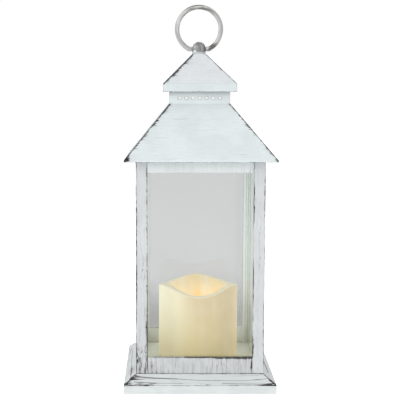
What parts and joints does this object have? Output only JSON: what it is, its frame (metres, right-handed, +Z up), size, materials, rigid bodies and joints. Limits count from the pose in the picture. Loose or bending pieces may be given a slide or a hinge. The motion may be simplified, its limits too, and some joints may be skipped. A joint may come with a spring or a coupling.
{
  "type": "candle lantern",
  "caption": "Table-top candle lantern: square plinth, glazed four-post body, hipped roof with dimpled neck, cap, knob and swinging ring, and a fixed battery pillar candle inside.",
  "frame": {"origin": "centre of the plinth's foot, on the surface it stands on", "axes": "+Z up, -Y is the front as pictured, +X to the right of it; the ring lies in the XZ plane and swings about X"},
  "size_m": [0.139, 0.139, 0.3546],
  "materials": {
    "painted_shell": "antique white paint dry-brushed over a dark brown-grey base coat, worn through at the edges",
    "painted_knob": "grey brushed paint over dark base, darker streaks",
    "painted_ring": "grey-white brushed paint, dark worn streaks",
    "glass": "clear float glass, green at the edges",
    "candle_ivory": "ivory wax-like, soft satin, lit warm from within",
    "lamp_amber": "amber lens, glows warm",
    "lamp_holder": "moulded, satin",
    "cover_plastic": "moulded white-grey, fine texture",
    "black_plastic": "moulded black",
    "cell_jacket": "printed sleeve, plain",
    "contact_metal": "nickel plated",
    "board": "solder mask",
    "component_black": "moulded epoxy",
    "screw_steel": "zinc plated",
    "lead_red": "insulated wire",
    "lead_black": "insulated wire"
  },
  "bodies": {
    "lantern": {"battery_front": "cell_jacket", "battery_leads": "lead_black", "battery_middle": "cell_jacket", "battery_rear": "cell_jacket", "battery_tray": "black_plastic", "board_components": "component_black", "board_screws": "screw_steel", "bottom_cover": "cover_plastic", "bottom_rail_front": "painted_shell", "bottom_rail_left": "painted_shell", "bottom_rail_rear": "painted_shell", "bottom_rail_right": "painted_shell", "candle_base_plate": "cover_plastic", "candle_screws": "screw_steel", "candle_shell": "candle_ivory", "cap": "painted_shell", "ceiling_plate": "painted_shell", "circuit_board": "board", "contact_plates": "contact_metal", "contact_springs": "contact_metal", "cover_screws": "screw_steel", "glass_front": "glass", "glass_left": "glass", "glass_rear": "glass", "glass_right": "glass", "knob": "painted_knob", "knob_screw": "screw_steel", "knob_washer": "screw_steel", "lamp": "lamp_amber", "lamp_holder": "lamp_holder", "lamp_leads": "lead_red", "plinth": "painted_shell", "post_base_screws": "screw_steel", "post_front_left": "painted_shell", "post_front_right": "painted_shell", "post_rear_left": "painted_shell", "post_rear_right": "painted_shell", "post_top_screws": "screw_steel", "roof_shell": "painted_shell", "switch_body": "black_plastic", "top_rail_front": "painted_shell", "top_rail_left": "painted_shell", "top_rail_rear": "painted_shell", "top_rail_right": "painted_shell", "vent_neck": "painted_shell"},
    "handle": {"handle_ring": "painted_ring"},
    "door": {"battery_door": "cover_plastic"},
    "switch": {"switch_slider": "black_plastic"}
  },
  "joints": [
    {"name": "ring_swing", "type": "hinge", "parent": "lantern", "child": "handle", "pos_m": [0, 0, 0.31347], "axis": [1, 0, 0], "range_deg": [-126, 126]},
    {"name": "battery_door_slide", "type": "slide", "parent": "lantern", "child": "door", "axis": [0, 1, 0], "range_m": [0, 0.0068]},
    {"name": "switch_slide", "type": "slide", "parent": "lantern", "child": "switch", "axis": [1, 0, 0], "range_m": [-0.002, 0.002]}
  ]
}
